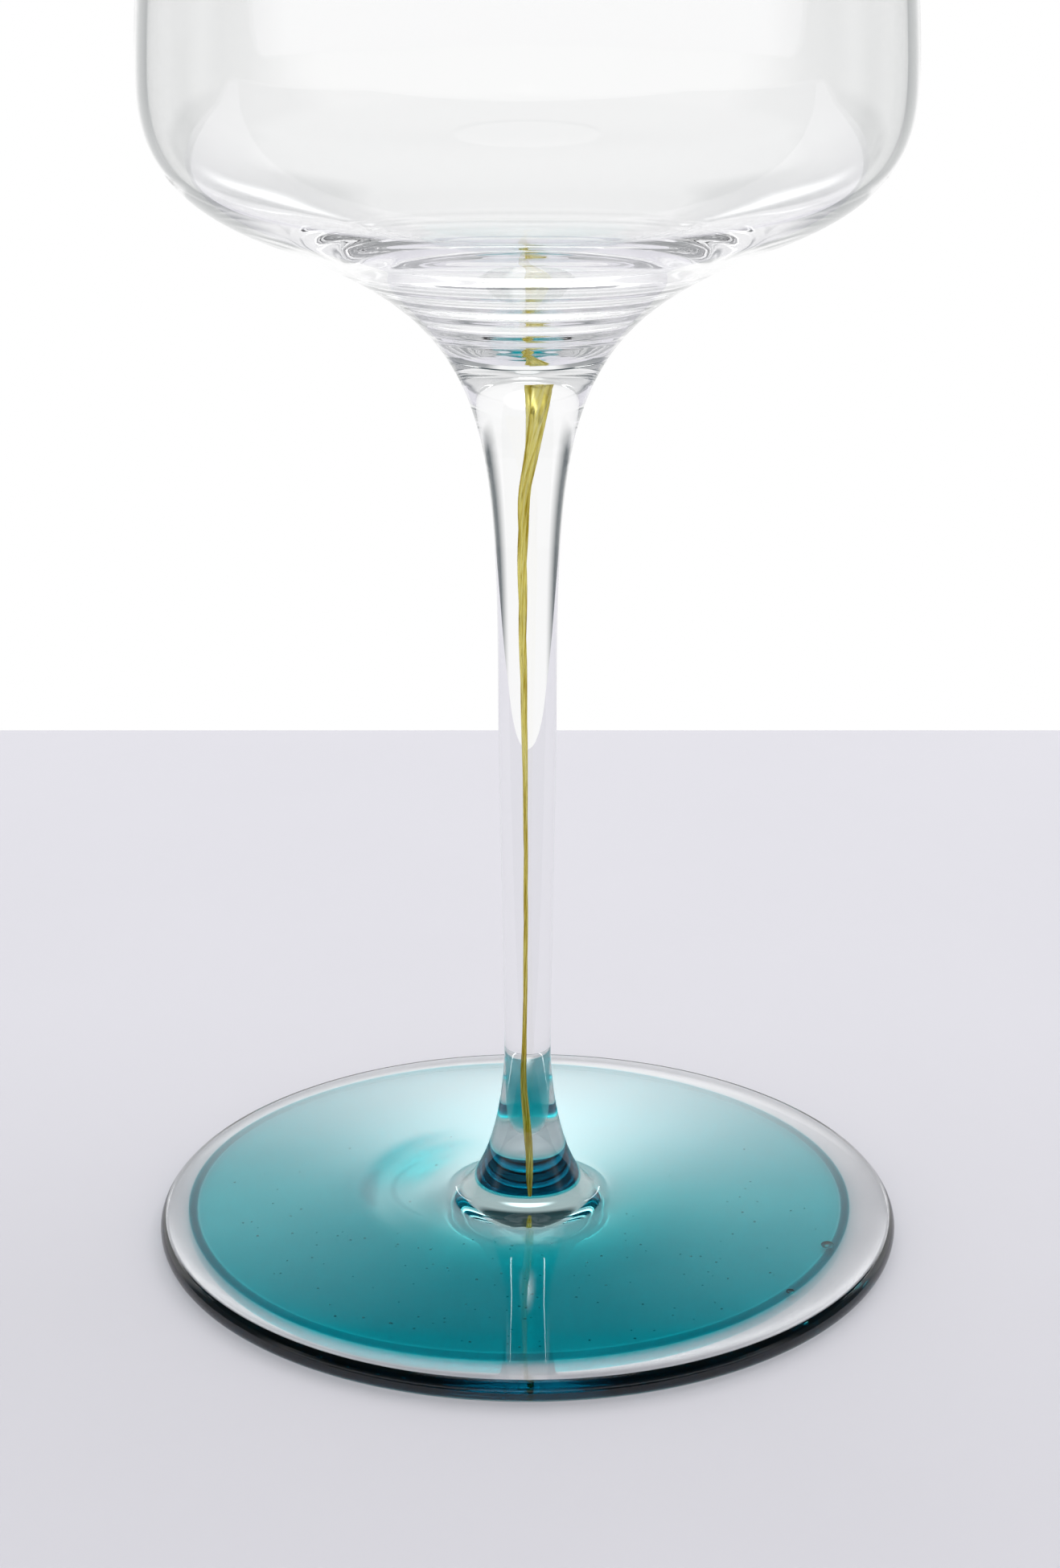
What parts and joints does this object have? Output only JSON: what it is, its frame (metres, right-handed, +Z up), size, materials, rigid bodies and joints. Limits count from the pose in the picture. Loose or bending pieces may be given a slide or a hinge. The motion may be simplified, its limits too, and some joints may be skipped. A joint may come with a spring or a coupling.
{
  "type": "champagne glass",
  "caption": "Stemmed champagne glass: clear tulip bowl, slim drawn stem with an ochre glass thread inside, clear round foot with a teal disc sealed in it.",
  "frame": {"origin": "middle of the flat surface that the foot stands on", "axes": "+Z up along the stem to the rim; X and Y are alike"},
  "size_m": [0.08, 0.08, 0.232],
  "materials": {
    "clear_glass": "clear, fire-polished",
    "teal_glass": "transparent teal, sealed inside the clear foot",
    "ochre_glass": "translucent ochre with drawn streaks, sealed inside the clear stem"
  },
  "bodies": {
    "root": {"bowl": "clear_glass", "stem": "clear_glass", "ochre_thread": "ochre_glass", "foot_top": "clear_glass", "teal_disc": "teal_glass", "foot_base": "clear_glass"}
  },
  "joints": []
}
